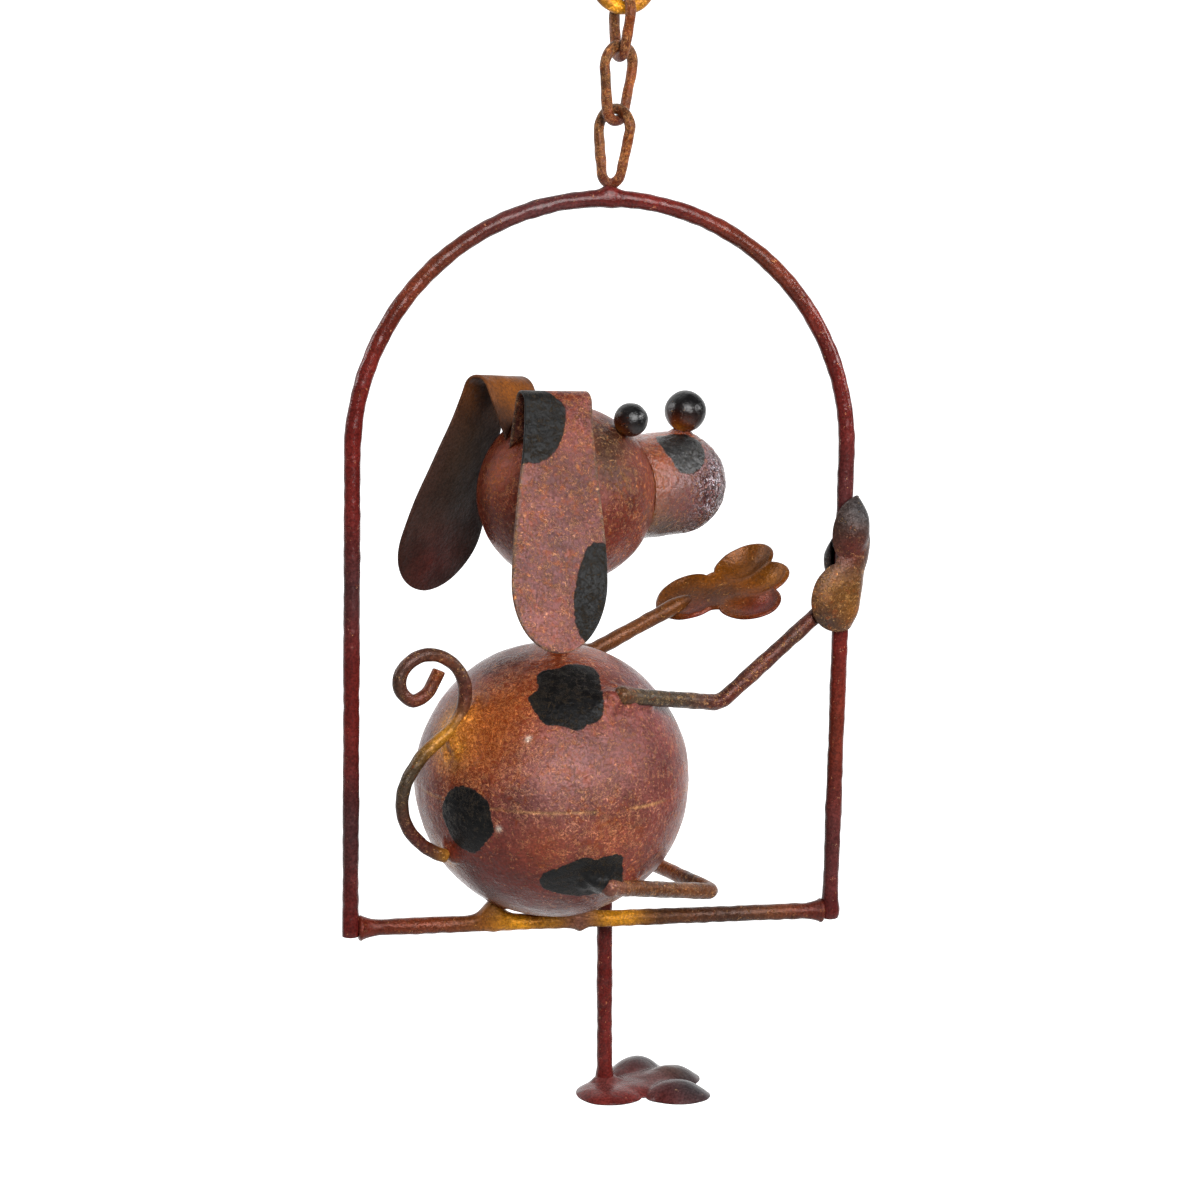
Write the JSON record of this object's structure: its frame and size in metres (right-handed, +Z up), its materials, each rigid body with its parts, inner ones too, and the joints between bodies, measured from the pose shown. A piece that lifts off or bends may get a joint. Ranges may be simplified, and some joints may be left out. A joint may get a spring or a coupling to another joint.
{
  "type": "hanging metal dog sculpture",
  "caption": "Painted metal dog on the bar of an arched rod hoop, hung from a ring by a short chain, with ball body and head, cup muzzle, folded ears, bent rod limbs and pressed paws.",
  "frame": {"origin": "inside top of the hanging ring, where the hook that carries the piece sits", "axes": "+Z up, +X along the hoop's width towards the side the dog looks to, +Y away from the viewer, out of the hoop's back"},
  "size_m": [0.1546, 0.1042, 0.3379],
  "materials": {
    "red_brown": "worn translucent red-brown enamel with gold flecks",
    "maroon": "glossy dark maroon enamel",
    "rust_brown": "orange-brown enamel with gold rubbed edges",
    "black": "satin black paint",
    "dark_brown": "dark brown satin enamel"
  },
  "bodies": {
    "root": {"hang_ring": "rust_brown", "chain_link_upper": "red_brown", "chain_link_middle": "red_brown", "chain_link_lower": "red_brown", "hoop": "maroon", "seat_bar": "red_brown", "body": "red_brown", "neck": "red_brown", "head": "red_brown", "muzzle": "red_brown", "nose": "black", "eye_right": "black", "eye_left": "black", "ear_right": "red_brown", "ear_left": "dark_brown", "arm_right": "rust_brown", "arm_left": "rust_brown", "hand_right": "red_brown", "hand_left": "rust_brown", "leg_right": "red_brown", "leg_left": "maroon", "foot_right": "red_brown", "foot_left": "maroon", "tail": "rust_brown"}
  },
  "joints": []
}
